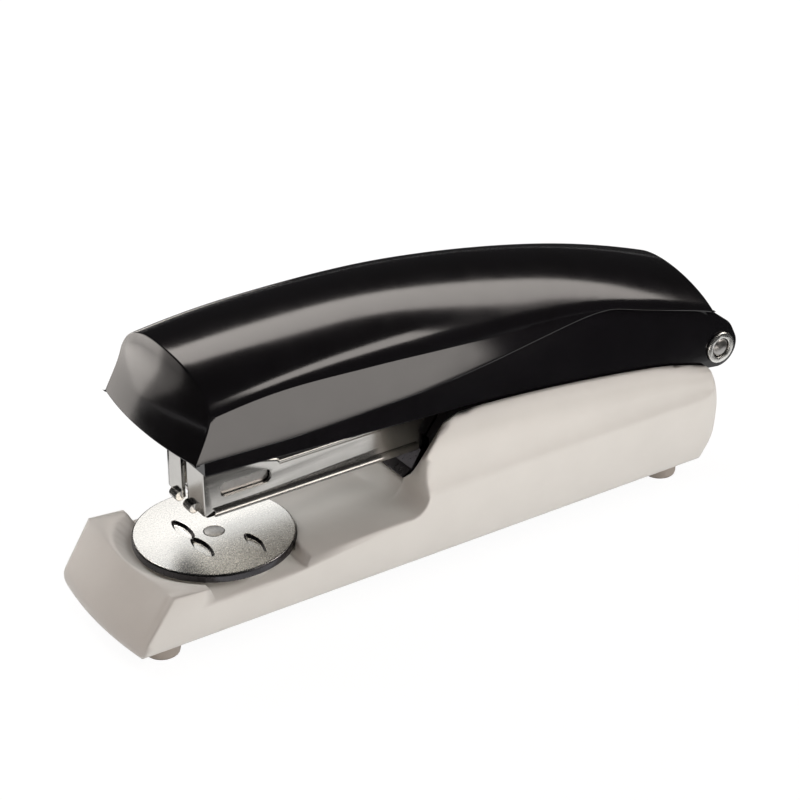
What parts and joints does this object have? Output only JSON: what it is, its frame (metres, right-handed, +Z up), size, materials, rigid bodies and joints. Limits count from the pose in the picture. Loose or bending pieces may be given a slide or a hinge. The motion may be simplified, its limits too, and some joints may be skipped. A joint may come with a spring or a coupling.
{
  "type": "desk stapler",
  "caption": "Half-strip desk stapler with an arched moulded cover, a steel arm and magazine on a rear hinge, and a round turning anvil in a moulded base.",
  "frame": {"origin": "on the table under the middle of the stapler: the centre of the bounding box in X and Y, and the feet in Z", "axes": "+X runs along the stapler from the nose to the rear hinge, +Y to the left as seen by the user who holds the nose away from them, +Z up"},
  "size_m": [0.1518, 0.0364, 0.0631],
  "materials": {
    "grey_moulding": "satin",
    "rubber_foot": "matte",
    "bright_plating": "polished",
    "zinc_plating": "satin",
    "spring_steel": "satin",
    "blackened_steel": "satin",
    "black_paint": "satin",
    "black_moulding": "polished",
    "nylon": "satin"
  },
  "bodies": {
    "base": {"base_shell": "grey_moulding", "foot_front_left": "rubber_foot", "foot_front_right": "rubber_foot", "foot_rear_left": "rubber_foot", "foot_rear_right": "rubber_foot", "anvil_spring_washer": "spring_steel", "base_bracket": "blackened_steel", "bracket_screw_front": "zinc_plating", "bracket_screw_rear": "zinc_plating", "lift_spring": "spring_steel", "lift_spring_rivet": "zinc_plating", "hinge_pin": "zinc_plating", "hinge_washer_left": "nylon", "hinge_washer_right": "nylon"},
    "anvil": {"anvil_disc": "bright_plating", "anvil_retainer": "zinc_plating", "anvil_rivet": "zinc_plating"},
    "magazine": {"magazine": "bright_plating", "staple_rail": "bright_plating", "rail_stop": "zinc_plating", "pusher_rod": "zinc_plating", "pusher_spring": "spring_steel", "magazine_spacer": "zinc_plating"},
    "pusher": {"pusher": "zinc_plating"},
    "arm": {"arm_frame": "black_paint", "handle_spring": "spring_steel", "handle_spring_rivet": "zinc_plating", "driver_blade": "spring_steel", "driver_mount": "zinc_plating", "driver_rivet_left": "zinc_plating", "driver_rivet_right": "zinc_plating", "top_cover": "black_moulding", "hinge_eyelet_left": "bright_plating", "hinge_eyelet_right": "bright_plating"}
  },
  "joints": [
    {"name": "magazine_hinge", "type": "hinge", "parent": "base", "child": "magazine", "pos_m": [0.07119, 0, 0.0284], "axis": [0, 1, 0], "range_deg": [-3.4, 90], "stiffness_Nm_per_rad": 0.6, "springref_deg": 6.88, "deforming": ["lift_spring"]},
    {"name": "arm_hinge", "type": "hinge", "parent": "magazine", "child": "arm", "pos_m": [0.07119, 0, 0.0284], "axis": [0, 1, 0], "range_deg": [-3.4, 80], "stiffness_Nm_per_rad": 0.6, "springref_deg": 6.88, "deforming": ["handle_spring"]},
    {"name": "pusher_slide", "type": "slide", "parent": "magazine", "child": "pusher", "axis": [1, 0, 0], "range_m": [0, 0.07], "stiffness_N_per_m": 30, "springref_m": -0.02, "deforming": ["pusher_spring"]},
    {"name": "anvil_turn", "type": "hinge", "parent": "base", "child": "anvil", "pos_m": [-0.04881, 0, 0.0161], "axis": [0, 0, 1], "continuous": true}
  ]
}
